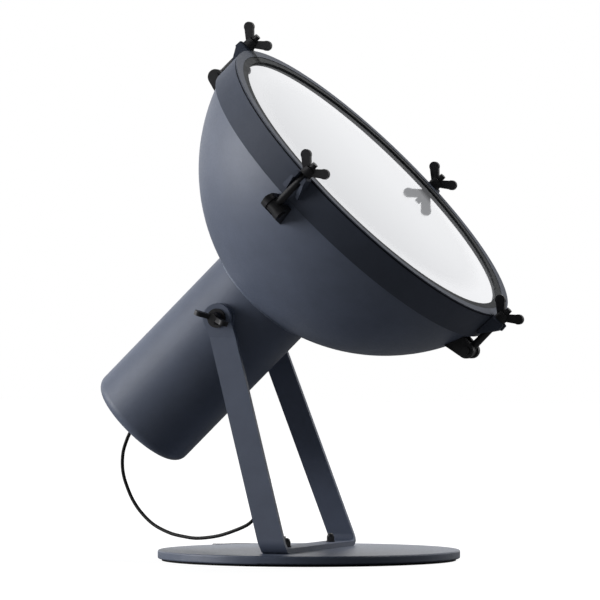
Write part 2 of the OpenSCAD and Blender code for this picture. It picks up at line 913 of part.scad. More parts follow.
module lamp_holder() {
    color("ivory")
        head_frame()
            difference() {
                translate([0, 0, collar_rear])
                    cylinder(d = holder_d, h = holder_l);
                translate([0, 0, collar_rear + holder_l - holder_cap_depth])
                    cylinder(d = cap_d + 2 * move_gap, h = holder_cap_depth + over);
            }
}

module bulb_cap() {
    color("silver")
        head_frame()
            translate([0, 0, collar_rear + holder_l - holder_cap_depth])
                cylinder(d = cap_d, h = cap_l);
}

module bulb_glass() {
    color("white")
        head_frame()
            rotate_extrude()
                intersection() {
                    union() {
                        polygon([[0, bulb_neck],
                            [cap_d / 2 - slip_gap, bulb_neck],
                            [cap_d / 2, bulb_shoulder],
                            [bulb_r * cos(bulb_flare), bulb_centre - bulb_r * sin(bulb_flare)],
                            [0, bulb_centre]]);
                        translate([0, bulb_centre])
                            circle(bulb_r);
                    }
                    square([big, big]);
                }
}

module terminal_block() {
    color("ivory")
        head_frame()
            difference() {
                translate([-block[0] / 2, -block[1] / 2, collar_rear - plate_t - block[2]])
                    cube(block);
                for (x = [-1, 0, 1])
                    translate([x * block[0] / 3, block[1] / 4, collar_rear - plate_t - block[2] - over])
                        cylinder(d = block_hole_d, h = block[2] / 2);
            }
}

module cable_gland() {
    color(rubber_black)
        head_frame() {
            translate([0, 0, -housing_back - gland_l]) {
                translate([0, 0, gland_l - gland_hex])
                    cylinder(r = gland_r, h = gland_hex, $fn = 6);
                cylinder(r1 = gland_thread_r - 0.5, r2 = gland_thread_r + 1.5, h = gland_l - gland_hex);
                cylinder(r = gland_thread_r, h = gland_l + housing_floor + gland_nut_t);
            }
        }
}

module gland_nut() {
    color(rubber_black)
        head_frame()
            translate([0, 0, housing_floor - housing_back])
                difference() {
                    cylinder(r = gland_r, h = gland_nut_t, $fn = 6);
                    translate([0, 0, -eps])
                        cylinder(r = gland_thread_r + thread_fit, h = gland_nut_t + over);
                }
}

module inner_flex() {
    flex_start = housing_floor + gland_nut_t - housing_back;
    flex_end = collar_rear - plate_t - block[2];
    color(cord_black)
        head_frame()
            translate([0, 0, flex_start])
                cylinder(d = cord_d, h = flex_end - flex_start);
}

module clamp_pins() {
    reach = lug_gap / 2 + lug_t + pin_head;
    color(steel_black)
        for (i = [0 : 3])
            clamp_frame(i)
                translate([bolt_circle, 0, pin_s])
                    rotate([90, 0, 0]) {
                        cylinder(d = pin_d, h = 2 * reach, center = true);
                        for (side = [-1, 1])
                            translate([0, 0, side * (reach - pin_head / 2)])
                                cylinder(d = pin_head_d, h = pin_head, center = true);
                    }
}

// Bolt with an eye round the hinge pin
module swing_bolt(i) {
    color(steel_black)
        clamp_frame(i)
            translate([bolt_circle, 0, pin_s])
                difference() {
                    union() {
                        rotate([90, 0, 0])
                            cylinder(r = eye_r, h = eye_w, center = true);
                        cylinder(d = bolt_d, h = bolt_end - pin_s);
                        cylinder(d1 = stem_d[0], d2 = stem_d[1], h = stem_end - pin_s);
                    }
                    rotate([90, 0, 0])
                        cylinder(d = pin_d + 2 * pin_fit, h = eye_w + 2 * over, center = true);
                }
}

module swing_bolt_top() { swing_bolt(0); }
module swing_bolt_near() { swing_bolt(1); }
module swing_bolt_bottom() { swing_bolt(2); }
module swing_bolt_far() { swing_bolt(3); }

// Wing nut standing on its seat, with its wings in the X-Z plane and a bore for a thread of diameter d
module wing_nut(d) {
    difference() {
        union() {
            cylinder(r1 = hub_r, r2 = hub_r - hub_taper, h = hub_h);
            rotate([90, 0, 0])
                linear_extrude(wing_t, center = true)
                    for (side = [-1, 1])
                        wing_shape(side);
        }
        translate([0, 0, -eps])
            cylinder(d = d + 2 * pin_fit, h = big);
    }
}

// Outline of one wing: a round tip on a slightly waisted arm
module wing_shape(side) {
    tip = [side * wing_out, wing_up];
    root = [side * wing_root[0], wing_root[1]];
    along_wing = unit(tip - root);
    across_wing = [-along_wing[1], along_wing[0]];
    waist = wing_waist * across_wing;
    shoulder = wing_shoulder * across_wing;
    translate(tip)
        circle(wing_r);
    polygon([root + waist, tip + shoulder, tip - shoulder, root - waist]);
}

// Wing nut of clamp number i
module clamp_nut(i) {
    color(steel_black)
        clamp_frame(i)
            translate([bolt_circle, 0, nut_seat])
                rotate([0, 0, wing_turns[i]])
                    wing_nut(bolt_d);
}

module wing_nut_top() { clamp_nut(0); }
module wing_nut_near() { clamp_nut(1); }
module wing_nut_bottom() { clamp_nut(2); }
module wing_nut_far() { clamp_nut(3); }

// Puts a shape on the pivot axis, on one side, with +Z pointing outwards from the lamp
module pivot_frame(side) {
    translate([-pivot_back, 0, pivot_z])
        rotate([-90 * side, 0, 0])
            children();
}

module pivot_studs() {
    color(steel_black)
        for (side = [-1, 1])
            pivot_frame(side)
                translate([0, 0, stud_in])
                    cylinder(d = stud_d, h = stud_out - stud_in);
}

module friction_washers() {
    color(rubber_black)
        for (side = [-1, 1])
            pivot_frame(side)
                translate([0, 0, boss_out])
                    washer(boss_r - over, stud_d / 2 + pin_fit, friction_t);
}

module pivot_washers() {
    color(steel_black)
        for (side = [-1, 1])
            pivot_frame(side)
                translate([0, 0, arm_out_y])
                    washer(stud_d + 1.5, stud_d / 2 + pin_fit, pivot_washer_t);
}

// Wing nut on a pivot stud
module pivot_nut(side) {
    color(steel_black)
        pivot_frame(side)
            translate([0, 0, pivot_seat])
                rotate([0, 0, side * pivot_wing_turn])
                    wing_nut(stud_d);
}

module pivot_wing_nut_near() { pivot_nut(-1); }
module pivot_wing_nut_far() { pivot_nut(1); }

// Puts a shape at the clip on the near arm, with +Z along the flex
module clip_frame() {
    turn = atan2(clip_dir[1], clip_dir[0]);
    translate(clip_at)
        rotate([0, acos(clip_dir[2]), turn])
            children();
}

module clip_screw_hole() {
    translate(clip_screw_at)
        rotate([90 - arm_tilt, 0, 0])
            cylinder(d = clip_screw_d + 2 * thread_fit, h = bar_t - over);
}

// Clip: a sleeve round the flex on a flat tab against the arm
module cable_clip() {
    color(rubber_black)
        difference() {
            union() {
                clip_frame()
                    cylinder(r = cord_r + clip_wall, h = clip_l, center = true);
                translate([clip_at[0], arm_face(clip_z), clip_z])
                    rotate([-arm_tilt, 0, 0])
                        translate([-cord_r, 0, -clip_l / 2])
                            cube([clip_tab + cord_r + clip_screw_d + over, clip_tab_t, clip_l]);
            }
            translate(clip_screw_at)
                rotate([90 - arm_tilt, 0, 0])
                    cylinder(d = clip_screw_d + 2 * pin_fit, h = 2 * clip_l, center = true);
        }
}

module clip_screw() {
    color(steel_black)
        translate(clip_screw_at)
            rotate([90 - arm_tilt, 0, 0])
                translate([0, 0, -clip_tab_t]) {
                    cylinder(d = clip_screw_d, h = clip_tab_t + bar_t - 2 * over);
                    translate([0, 0, -clip_head_t])
                        cylinder(d = 2 * clip_screw_d, h = clip_head_t);
                }
}

module flex_loop() {
    color(cord_black)
        tube(loop_path, cord_d, 8, [0.48, 0.88, 0]);
}

module switch_lead() {
    color(cord_black)
        tube(arch_path, cord_d, 8, turned([1, 0, 0]));
}

// Round-ended box of the in-line switch between two heights
module switch_block(z0, z1) {
    lead_frame()
        translate([lead_x, switch_mid, z0])
            linear_extrude(z1 - z0)
                intersection() {
                    slot_shape(switch_l * switch_round, switch_w);
                    square([switch_w, switch_l], center = true);
                }
}

// Well that the rocker turns in
module rocker_well() {
    lead_frame()
        translate([lead_x, switch_mid, rocker_z]) {
            translate([-rocker_w / 2 - move_gap, -rocker_r - over, 2 - rocker_r])
                cube([rocker_w + 2 * move_gap, 2 * (rocker_r + over), big]);
            rotate([0, 90, 0])
                cylinder(d = axle_d + 2 * pin_fit, h = axle_l + over, center = true);
        }
}

module switch_base() {
    color(cord_black)
        difference() {
            switch_block(base_top, switch_split);
            rocker_well();
            at_switch_screws(base_top - eps)
                cylinder(d = switch_screw_d + 2 * pin_fit, h = switch_h);
        }
}

module switch_cover() {
    color(cord_black)
        difference() {
            switch_block(switch_split, base_top + switch_h);
            rocker_well();
            at_switch_screws(switch_split - eps)
                cylinder(d = switch_screw_d + 2 * thread_fit, h = switch_screw_in + over);
        }
}

// Puts a shape at both screws of the switch
module at_switch_screws(z) {
    for (y = [-1, 1])
        lead_frame()
            translate([lead_x + switch_w / 4, switch_mid + y * switch_l / 3, z])
                children();
}

module switch_screws() {
    color("silver")
        at_switch_screws(base_top + switch_screw_sunk)
            cylinder(d = switch_screw_d, h = switch_split - base_top - switch_screw_sunk + switch_screw_in);
}

module switch_rocker() {
    color(steel_black)
        lead_frame()
            translate([lead_x, switch_mid, rocker_z])
                rotate([rocker_throw, 0, 0]) {
                    intersection() {
                        rotate([0, 90, 0])
                            cylinder(r = rocker_r, h = rocker_w, center = true);
                        translate([-rocker_w, -rocker_r, -rocker_drop])
                            cube([2 * rocker_w, 2 * rocker_r, 2 * rocker_r]);
                    }
                    rotate([0, 90, 0])
                        cylinder(d = axle_d, h = axle_l, center = true);
                }
}

module supply_lead() {
    color(cord_black)
        tube(supply_path, cord_d, 8, turned([1, 0, 0]));
}

// Centre line of the coil: in on the lower layer, up in half a turn, out on the upper one
function coil_radius(a) = a < coil_half ? coil_r - coil_step * a
    : a > coil_half + 0.5 ? coil_r - coil_step * (coil_turns - a) : coil_in_r;
function coil_z(a) = coil_low + coil_rise * min(max((a - coil_half) / 0.5, 0), 1);
function coil_point(a) = [coil_centre[0] + coil_radius(a) * cos(360 * a),
    coil_centre[1] + coil_radius(a) * sin(360 * a), coil_z(a)];
module cord_coil() {
    color(cord_black)
        lead_frame()
            tube(coil_path, cord_d, 6, [0, 0, 1]);
}

module plug_lead() {
    color(cord_black)
        tube(plug_path, cord_d, 8, turned([1, 0, 0]));
}

// Flat band round the turns of the coil, on the side away from the lead
module cord_tie() {
    out_w = coil_r - coil_in_r + cord_d + 2 * tie_slack;
    tall = coil_rise + cord_d;
    color(rubber_black)
        lead_frame()
            translate([coil_centre[0], coil_centre[1], coil_lift + tall / 2])
                rotate([0, 0, 180])
                    translate([(coil_r + coil_in_r) / 2, tie_w / 2, 0])
                        rotate([90, 0, 0])
                            linear_extrude(tie_w)
                                difference() {
                                    square([out_w + 2 * tie_t, tall + 2 * coil_lift], center = true);
                                    square([out_w, tall + 2 * seat_gap], center = true);
                                }
}

module plug_body() {
    color(cord_black)
        lead_frame()
            translate([lead_x, plug_rear, 0]) {
                linear_extrude(plug_h)
                    polygon([[-plug_w / 4, 0], [plug_w / 4, 0], [plug_w / 2, plug_waist],
                        [plug_w / 2, plug_l], [-plug_w / 2, plug_l], [-plug_w / 2, plug_waist]]);
                translate([0, 0, plug_z])
                    rotate([90, 0, 0])
                        cylinder(d1 = plug_neck_d[0], d2 = plug_neck_d[1], h = plug_neck_l);
            }
}

module plug_pins() {
    color("silver")
        lead_frame()
            for (x = [-1, 1])
                translate([lead_x + x * plug_pin_gap / 2, plug_rear + plug_l, plug_z])
                    rotate([-90, 0, 0])
                        cylinder(d = plug_pin_d, h = plug_pin_l);
}

base_plate();
base_pad();
yoke_bracket();
yoke_studs();
yoke_washers();
yoke_nuts();
rear_housing();
bowl();
rim_band();
rim_gasket();
front_bezel();
glass_seal();
front_glass();
glass_retainer();
reflector();
holder_plate();
plate_screws();
lamp_holder();
bulb_cap();
bulb_glass();
terminal_block();
cable_gland();
gland_nut();
inner_flex();
clamp_lugs();
clamp_pins();
pivot_studs();
friction_washers();
pivot_washers();
swing_bolt_top();
swing_bolt_near();
swing_bolt_bottom();
swing_bolt_far();
wing_nut_top();
wing_nut_near();
wing_nut_bottom();
wing_nut_far();
pivot_wing_nut_near();
pivot_wing_nut_far();
cable_clip();
clip_screw();
flex_loop();
switch_lead();
switch_base();
switch_cover();
switch_rocker();
switch_screws();
supply_lead();
cord_coil();
plug_lead();
cord_tie();
plug_body();
plug_pins();
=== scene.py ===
import math

import bmesh
import bpy
from mathutils import Matrix, Vector


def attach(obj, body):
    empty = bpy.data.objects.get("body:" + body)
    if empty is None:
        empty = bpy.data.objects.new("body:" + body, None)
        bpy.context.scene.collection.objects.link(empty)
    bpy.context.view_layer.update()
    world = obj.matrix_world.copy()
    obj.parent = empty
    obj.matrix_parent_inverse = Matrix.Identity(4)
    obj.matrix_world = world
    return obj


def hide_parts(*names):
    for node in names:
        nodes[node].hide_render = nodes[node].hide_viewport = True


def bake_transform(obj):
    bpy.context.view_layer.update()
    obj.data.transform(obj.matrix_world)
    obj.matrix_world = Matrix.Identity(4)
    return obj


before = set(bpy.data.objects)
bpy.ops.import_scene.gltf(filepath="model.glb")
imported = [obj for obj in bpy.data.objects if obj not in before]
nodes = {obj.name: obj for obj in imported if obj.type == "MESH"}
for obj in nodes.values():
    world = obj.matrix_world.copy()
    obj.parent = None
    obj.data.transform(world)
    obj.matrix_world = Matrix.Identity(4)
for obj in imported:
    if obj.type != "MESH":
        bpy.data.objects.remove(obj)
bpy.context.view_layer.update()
scene = bpy.context.scene
scene.view_settings.view_transform = "Standard"

MM = 0.001


def mm(*values):
    """A point given in millimetres."""
    return Vector(values) * MM


# Camera: level and far away, on the lamp's right-hand side and a little to its front
IMAGE_SIDE = 600
CAMERA_TURN = math.radians(19.877)
CAMERA_DISTANCE = 5.5
CAMERA_SIDE = -0.0088
CAMERA_HEIGHT = 0.2579
FOCAL_PIXELS = 5544.8
SENSOR = 36
VIEW_RANGE = (0.1, 60)

camera_data = bpy.data.cameras.new("photo_camera")
camera_data.sensor_width = SENSOR
camera_data.lens = SENSOR * FOCAL_PIXELS / IMAGE_SIDE
camera_data.clip_start, camera_data.clip_end = VIEW_RANGE
camera = bpy.data.objects.new("photo_camera", camera_data)
scene.collection.objects.link(camera)
right = Vector((math.cos(CAMERA_TURN), math.sin(CAMERA_TURN), 0))
ahead = Vector((-math.sin(CAMERA_TURN), math.cos(CAMERA_TURN), 0))
camera.location = right * CAMERA_SIDE - ahead * CAMERA_DISTANCE + Vector((0, 0, CAMERA_HEIGHT))
camera.rotation_euler = (math.pi / 2, 0, CAMERA_TURN)
scene.camera = camera


# Head: its pivot in millimetres, then in metres the paint bead at its neck and, measured from the pivot
# along its axis, the front of the glass and of the bezel
PIVOT = (-72, 0, 240)
HEAD_ELEVATION = math.radians(44)
NECK_AT = 0.0342
NECK_R = 0.0563
NECK_BEAD = 0.0022
GLASS_FRONT = 0.190
FACE_FRONT = 0.194

# Cords: the same routes as the solids, in millimetres, with more points
CORD_D = 3.5
GLAND_BACK = 161
CLIP_AT = Vector((-19.5, -89.5, 51))
CLIP_DIR = Vector((0.53, 0.152, 0.8343))
CLIP_L = 9
LEAD_TURN = math.radians(20)
LEAD_X = -35
BASE_R = 150
BASE_TOP = 10.4
SWITCH_MID = 17
SWITCH_L = 56
SWITCH_Z = BASE_TOP + 7
LEAD_EDGE = math.sqrt(BASE_R ** 2 - LEAD_X ** 2)
LEAD_Z = BASE_TOP + CORD_D / 2 + 0.25
COIL_R = 30
COIL_STEP = 4.6
COIL_TURNS = 8
COIL_RISE = 4
COIL_LOW = 0.5 + CORD_D / 2
COIL_AT = (LEAD_X - COIL_R, LEAD_EDGE + 28)
PLUG_REAR = COIL_AT[1] + 43
PLUG_NECK = 10
PLUG_Z = 6.5
ROUTE_STEPS = 5
COIL_STEPS = 40
PLUG_STEPS = 4


def turned(x, y, z):
    """A point of the lead's run, which is turned about the vertical."""
    return Matrix.Rotation(LEAD_TURN, 3, "Z") @ Vector((x, y, z))


def spline(points, steps):
    """Smooth line through points, the ends included."""
    line = []
    last = len(points) - 1
    for i in range(last):
        a, b = points[max(i - 1, 0)], points[i]
        c, d = points[i + 1], points[min(i + 2, last)]
        for k in range(steps):
            t = k / steps
            line.append(0.5 * (2 * b + (c - a) * t + (2 * a - 5 * b + 4 * c - d) * t ** 2
                               + (3 * b - a - 3 * c + d) * t ** 3))
    return line + [points[last]]


def coil_point(turns):
    """Centre of the coil's cord after a number of turns: in below, up in half a turn, out above."""
    half = (COIL_TURNS - 0.5) / 2
    if turns < half:
        radius = COIL_R - COIL_STEP * turns
    elif turns > half + 0.5:
        radius = COIL_R - COIL_STEP * (COIL_TURNS - turns)
    else:
        radius = COIL_R - COIL_STEP * half
    rise = min(max((turns - half) / 0.5, 0), 1)
    angle = 2 * math.pi * turns
    return turned(COIL_AT[0] + radius * math.cos(angle), COIL_AT[1] + radius * math.sin(angle),
                  COIL_LOW + COIL_RISE * rise)


def metres(points):
    """Points in metres, given in millimetres."""
    return [Vector(p) * MM for p in points]


def tube(name, path, radius, sides=14):
    """Closed round tube along a path of points in metres."""
    mesh = bpy.data.meshes.new(name)
    piece = bpy.data.objects.new(name, mesh)
    scene.collection.objects.link(piece)
    bm = bmesh.new()
    normal = None
    rings = []
    for i, point in enumerate(path):
        tangent = (path[min(i + 1, len(path) - 1)] - path[max(i - 1, 0)]).normalized()
        if normal is None:
            normal = tangent.orthogonal()
        normal = (normal - tangent * normal.dot(tangent)).normalized()
        across = tangent.cross(normal)
        ring = []
        for k in range(sides):
            angle = 2 * math.pi * k / sides
            ring.append(bm.verts.new(point + radius * (math.cos(angle) * normal + math.sin(angle) * across)))
        rings.append(ring)
    for low, high in zip(rings, rings[1:]):
        for k in range(sides):
            m = (k + 1) % sides
            bm.faces.new((low[k], low[m], high[m], high[k])).smooth = True
    bm.faces.new(list(reversed(rings[0])))
    bm.faces.new(rings[-1])
    bm.to_mesh(mesh)
    bm.free()
    return piece


head_axis = Vector((math.cos(HEAD_ELEVATION), 0, math.sin(HEAD_ELEVATION)))
gland_tip = Vector(PIVOT) - GLAND_BACK * head_axis
clip_low = CLIP_AT - CLIP_DIR * CLIP_L / 2
clip_high = CLIP_AT + CLIP_DIR * CLIP_L / 2
arch_end = turned(LEAD_X, SWITCH_MID - SWITCH_L / 2, SWITCH_Z)
LOOP_ROUTE = [(-194, 0, 118), (-198, 0, 106), (-199, 0, 93), (-197, -1, 81), (-192, -3, 69),
              (-185, -6, 57), (-174, -11, 45), (-158, -18, 33.6), (-137.5, -27, 26), (-119, -36, 23),
              (-102.5, -46, 22), (-85.5, -57, 23.4), (-68.5, -68.5, 26.1), (-52, -80, 30.4),
              (-37, -88.4, 35.4), (-29.4, -90.9, 39.1)]
ARCH_ROUTE = [(-41.2, -77.8, 65), (-39.8, -75.6, 72.8), (-39.3, -69.8, 79), (-39.2, -61.2, 81.6),
              (-39.1, -52.6, 79.2), (-38.7, -46.4, 73), (-38.1, -43.4, 64.6), (-37.4, -41.4, 55),
              (-36.7, -39.4, 45), (-35.9, -37, 36), (-35.5, -34, 28), (-35.2, -29, 21.6), (-35.1, -22.3, 18)]
flex_path = [gland_tip]
flex_path += spline([gland_tip - CORD_D * head_axis] + [Vector(p) for p in LOOP_ROUTE]
                    + [clip_low - CORD_D * CLIP_DIR], ROUTE_STEPS)
flex_path = metres(flex_path + [clip_low, CLIP_AT])
tail_path = [CLIP_AT, clip_high]
tail_path += spline([clip_high + CORD_D * CLIP_DIR] + [turned(*p) for p in ARCH_ROUTE]
                    + [arch_end - turned(0, CORD_D, 0)], ROUTE_STEPS)
tail_path = metres(tail_path + [arch_end])

supply_start = turned(LEAD_X, SWITCH_MID + SWITCH_L / 2, SWITCH_Z)
# Shares of the way to the base's edge, the fall to the floor as runs past the edge and shares of the drop,
# and runs past the coil's middle
ON_BASE = (0.49, 0.66, 0.83)
FALL = [(-9, 0), (-0.6, 0), (4, 0.07), (7, 0.22), (10.2, 0.5), (13.5, 0.78), (17, 0.94), (21, 1)]
TO_PLUG = (12, 22)
supply_points = [supply_start + turned(0, CORD_D, 0)]
supply_points += [turned(LEAD_X, share * LEAD_EDGE, LEAD_Z) for share in ON_BASE]
supply_points += [turned(LEAD_X, LEAD_EDGE + run, LEAD_Z - drop * (LEAD_Z - COIL_LOW)) for run, drop in FALL]
coil_end = turned(LEAD_X, COIL_AT[1], COIL_LOW + COIL_RISE)
plug_tail = turned(LEAD_X, PLUG_REAR - PLUG_NECK, PLUG_Z)
supply_path = [supply_start] + spline(supply_points, ROUTE_STEPS)
supply_path += [turned(LEAD_X, COIL_AT[1] - CORD_D, COIL_LOW)]
supply_path += [coil_point(k / COIL_STEPS) for k in range(COIL_STEPS * COIL_TURNS + 1)]
supply_path += [coil_end + turned(0, CORD_D, 0)]
supply_path += spline([coil_end + turned(0, 2 * CORD_D, 0)]
                      + [turned(LEAD_X, COIL_AT[1] + run, PLUG_Z) for run in TO_PLUG]
                      + [plug_tail - turned(0, CORD_D, 0)], PLUG_STEPS)
supply_path = metres(supply_path + [plug_tail])


def ring_bead(name, centre, axis, radius, thickness, steps=160, sides=10):
    """Closed round bead that runs in a circle about an axis, in metres."""
    mesh = bpy.data.meshes.new(name)
    piece = bpy.data.objects.new(name, mesh)
    scene.collection.objects.link(piece)
    across = axis.orthogonal().normalized()
    beside = axis.cross(across)
    bm = bmesh.new()
    rings = []
    for i in range(steps):
        turn = 2 * math.pi * i / steps
        out = math.cos(turn) * across + math.sin(turn) * beside
        rings.append([bm.verts.new(centre + out * radius + thickness / 2 * (
            math.cos(2 * math.pi * k / sides) * out + math.sin(2 * math.pi * k / sides) * axis))
            for k in range(sides)])
    for i, low in enumerate(rings):
        high = rings[(i + 1) % steps]
        for k in range(sides):
            m = (k + 1) % sides
            bm.faces.new((low[k], high[k], high[m], low[m])).smooth = True
    bmesh.ops.recalc_face_normals(bm, faces=bm.faces)
    bm.to_mesh(mesh)
    bm.free()
    return piece


neck_bead = ring_bead("neck_bead", mm(*PIVOT) + head_axis * NECK_AT, head_axis, NECK_R, NECK_BEAD)
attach(neck_bead, "head")

lamp_flex = tube("lamp_flex", flex_path, CORD_D * MM / 2)
switch_tail = tube("switch_tail", tail_path, CORD_D * MM / 2)
mains_lead = tube("mains_lead", supply_path, CORD_D * MM / 2)
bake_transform(lamp_flex)
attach(switch_tail, "stand")
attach(mains_lead, "stand")
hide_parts("flex_loop")
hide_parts("switch_lead")
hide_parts("supply_lead", "cord_coil", "plug_lead")


# Materials
class Nodes:
    """A node material and short ways to add to it."""

    def __init__(self, name):
        self.material = bpy.data.materials.new(name)
        self.material.use_nodes = True
        self.tree = self.material.node_tree
        self.shader = self.tree.nodes["Principled BSDF"]
        self.place = self.add("ShaderNodeTexCoord").outputs["Object"]

    def add(self, kind, **settings):
        node = self.tree.nodes.new(kind)
        for key, value in settings.items():
            setattr(node, key, value)
        return node

    def link(self, output, node, socket):
        self.tree.links.new(output, node.inputs[socket])

    def noise(self, scale, detail=2.0, roughness=0.5):
        node = self.add("ShaderNodeTexNoise")
        node.inputs["Scale"].default_value = scale
        node.inputs["Detail"].default_value = detail
        node.inputs["Roughness"].default_value = roughness
        self.link(self.place, node, "Vector")
        return node.outputs["Fac"]

    def off_centre(self, centre):
        """The place on the piece, measured from a point of the lamp at rest."""
        node = self.add("ShaderNodeVectorMath", operation="SUBTRACT")
        node.inputs[1].default_value = centre
        self.link(self.place, node, 0)
        return node.outputs["Vector"]

    def ramp(self, source, stops):
        node = self.add("ShaderNodeValToRGB")
        for element, (at, colour) in zip(node.color_ramp.elements, (stops[0], stops[-1])):
            element.position = at
            element.color = (*colour, 1)
        for at, colour in stops[1:-1]:
            node.color_ramp.elements.new(at).color = (*colour, 1)
        self.link(source, node, "Fac")
        return node.outputs["Color"]

    def span(self, source, low, high, start=0.3, end=0.7):
        node = self.add("ShaderNodeMapRange")
        node.inputs["From Min"].default_value = start
        node.inputs["From Max"].default_value = end
        node.inputs["To Min"].default_value = low
        node.inputs["To Max"].default_value = high
        self.link(source, node, "Value")
        return node.outputs["Result"]

    def bump(self, source, strength, distance, base=None):
        node = self.add("ShaderNodeBump")
        node.inputs["Strength"].default_value = strength
        node.inputs["Distance"].default_value = distance
        self.link(source, node, "Height")
        if base is not None:
            self.link(base, node, "Normal")
        return node.outputs["Normal"]

    def set(self, **sockets):
        for socket, value in sockets.items():
            name = socket.replace("_", " ")
            if hasattr(value, "links"):
                self.link(value, self.shader, name)
            else:
                self.shader.inputs[name].default_value = value
        return self


def srgb(red, green, blue):
    """Linear colour of an 8-bit screen colour."""
    def one(value):
        value /= 255
        return value / 12.92 if value <= 0.04045 else ((value + 0.055) / 1.055) ** 2.4
    return tuple(one(v) for v in (red, green, blue))


def toned(colour, share):
    """A colour made darker or lighter."""
    return tuple(v * share for v in colour)


def two_tone(colour, spread):
    """Stops of a ramp from a little darker to a little lighter than a colour."""
    return [(0.3, toned(colour, 1 - spread)), (0.7, toned(colour, 1 + spread))]


# The bezel's paint turns darker within FACE_STEP of its front, as painted shade on its front face; the glass
# turns to a mirror between the two radii whose squares are GLASS_EDGE
FACE_AT = mm(*PIVOT) + head_axis * FACE_FRONT
FACE_STEP = (-0.0008, -0.0004)
FACE_SHADE = 0.7
GLASS_AT = mm(*PIVOT) + head_axis * GLASS_FRONT
GLASS_DOME = 0.15
GLASS_EDGE = (0.130 ** 2, 0.150 ** 2)


def paint_tone(n, tone):
    """Faintly clouded paint colour."""
    return n.ramp(n.noise(46, 5, 0.6), two_tone(tone, 0.06))


def paint_grain(n):
    """Fine grain on a soft ripple."""
    return n.bump(n.noise(1400, 3, 0.6), 0.3, 0.0002, n.bump(n.noise(260, 2), 0.15, 0.0004))


def fine_paint(name, tone, gloss=0.0):
    """Powder paint, smoother by its gloss."""
    n = Nodes(name)
    n.set(Base_Color=paint_tone(n, tone),
          Roughness=n.span(n.noise(420, 2), 0.43 - gloss, 0.53 - gloss),
          Normal=paint_grain(n),
          Specular_IOR_Level=0.4)
    return n.material


LAMP_BLUE = srgb(98, 106, 124)


def bowl_paint():
    return fine_paint("bowl_paint", LAMP_BLUE)


def base_paint():
    return fine_paint("base_paint", LAMP_BLUE, 0.1)


def rim_paint():
    """Darker and duller paint, darkest on the front face, where the darkening is painted shade."""
    n = Nodes("rim_paint")
    along = n.add("ShaderNodeVectorMath", operation="DOT_PRODUCT")
    along.inputs[1].default_value = head_axis
    n.link(n.off_centre(FACE_AT), along, 0)
    # Painted shade: the paint on the bezel's front face is scaled down to FACE_SHADE of its tone
    shaded_face = n.add("ShaderNodeVectorMath", operation="SCALE")
    n.link(paint_tone(n, srgb(74, 80, 94)), shaded_face, "Vector")
    n.link(n.span(along.outputs["Value"], 1.0, FACE_SHADE, *FACE_STEP), shaded_face, "Scale")
    n.set(Base_Color=shaded_face.outputs["Vector"],
          Roughness=n.span(n.noise(420, 2), 0.55, 0.65),
          Normal=paint_grain(n),
          Specular_IOR_Level=0.25)
    return n.material


def black_metal():
    n = Nodes("black_metal")
    n.set(Base_Color=n.ramp(n.noise(120, 4), two_tone(srgb(34, 34, 37), 0.25)),
          Roughness=n.span(n.noise(700, 2), 0.42, 0.6),
          Normal=n.bump(n.noise(1100, 2), 0.25, 0.0002),
          Metallic=0.25)
    return n.material


def soft_rubber(name, tone):
    n = Nodes(name)
    n.set(Base_Color=n.ramp(n.noise(90, 3), two_tone(tone, 0.2)),
          Roughness=n.span(n.noise(300, 2), 0.7, 0.86),
          Normal=n.bump(n.noise(900, 2), 0.2, 0.0002),
          Specular_IOR_Level=0.2)
    return n.material


def rubber():
    return soft_rubber("black_rubber", srgb(18, 18, 19))


def seal_rubber():
    return soft_rubber("seal_rubber", srgb(40, 42, 44))


# Paint of the neck bead: its lighter tone is a painted highlight along the bead, while its extra gloss is real
def bead_highlight_paint():
    return fine_paint("bead_highlight_paint", srgb(128, 138, 156), 0.2)


def cord_sheath():
    n = Nodes("cord_sheath")
    n.set(Base_Color=n.ramp(n.noise(160, 3), two_tone(srgb(12, 12, 12), 0.2)),
          Roughness=n.span(n.noise(500, 2), 0.5, 0.64),
          Normal=n.bump(n.noise(1500, 2), 0.15, 0.0001),
          Specular_IOR_Level=0.2)
    return n.material


def black_plastic():
    n = Nodes("black_plastic")
    n.set(Base_Color=n.ramp(n.noise(60, 2), two_tone(srgb(26, 26, 27), 0.15)),
          Roughness=n.span(n.noise(400, 2), 0.4, 0.52),
          Normal=n.bump(n.noise(1800, 2), 0.3, 0.0001))
    return n.material


def opal_glass():
    """White glass with a slight dome, which mirrors most near its edge."""
    n = Nodes("opal_glass")
    off = n.off_centre(GLASS_AT)
    square = n.add("ShaderNodeVectorMath", operation="DOT_PRODUCT")
    n.link(off, square, 0)
    n.link(off, square, 1)
    dome = n.add("ShaderNodeMath", operation="MULTIPLY")
    dome.inputs[1].default_value = -GLASS_DOME
    n.link(square.outputs["Value"], dome, 0)
    n.set(Base_Color=n.ramp(n.noise(3, 2), two_tone(srgb(245, 246, 249), 0.012)),
          Roughness=n.span(n.noise(30, 2), 0.04, 0.06),
          Normal=n.bump(dome.outputs[0], 1.0, 1.0),
          Metallic=n.span(square.outputs["Value"], 0.4, 0.8, *GLASS_EDGE),
          IOR=1.52)
    return n.material


def bulb_glass():
    n = Nodes("bulb_glass")
    n.set(Base_Color=n.ramp(n.noise(40, 2), two_tone(srgb(240, 238, 232), 0.02)),
          Roughness=n.span(n.noise(200, 2), 0.12, 0.2), IOR=1.5)
    return n.material


def bright_metal():
    n = Nodes("bright_metal")
    n.set(Base_Color=n.ramp(n.noise(70, 4), two_tone(srgb(205, 206, 208), 0.05)),
          Roughness=n.span(n.noise(500, 3), 0.16, 0.3),
          Normal=n.bump(n.noise(900, 2), 0.08, 0.0001),
          Metallic=1.0)
    return n.material


def ceramic():
    n = Nodes("white_ceramic")
    n.set(Base_Color=n.ramp(n.noise(80, 3), two_tone(srgb(228, 224, 212), 0.04)),
          Roughness=n.span(n.noise(260, 2), 0.18, 0.3),
          Normal=n.bump(n.noise(500, 2), 0.1, 0.0002))
    return n.material


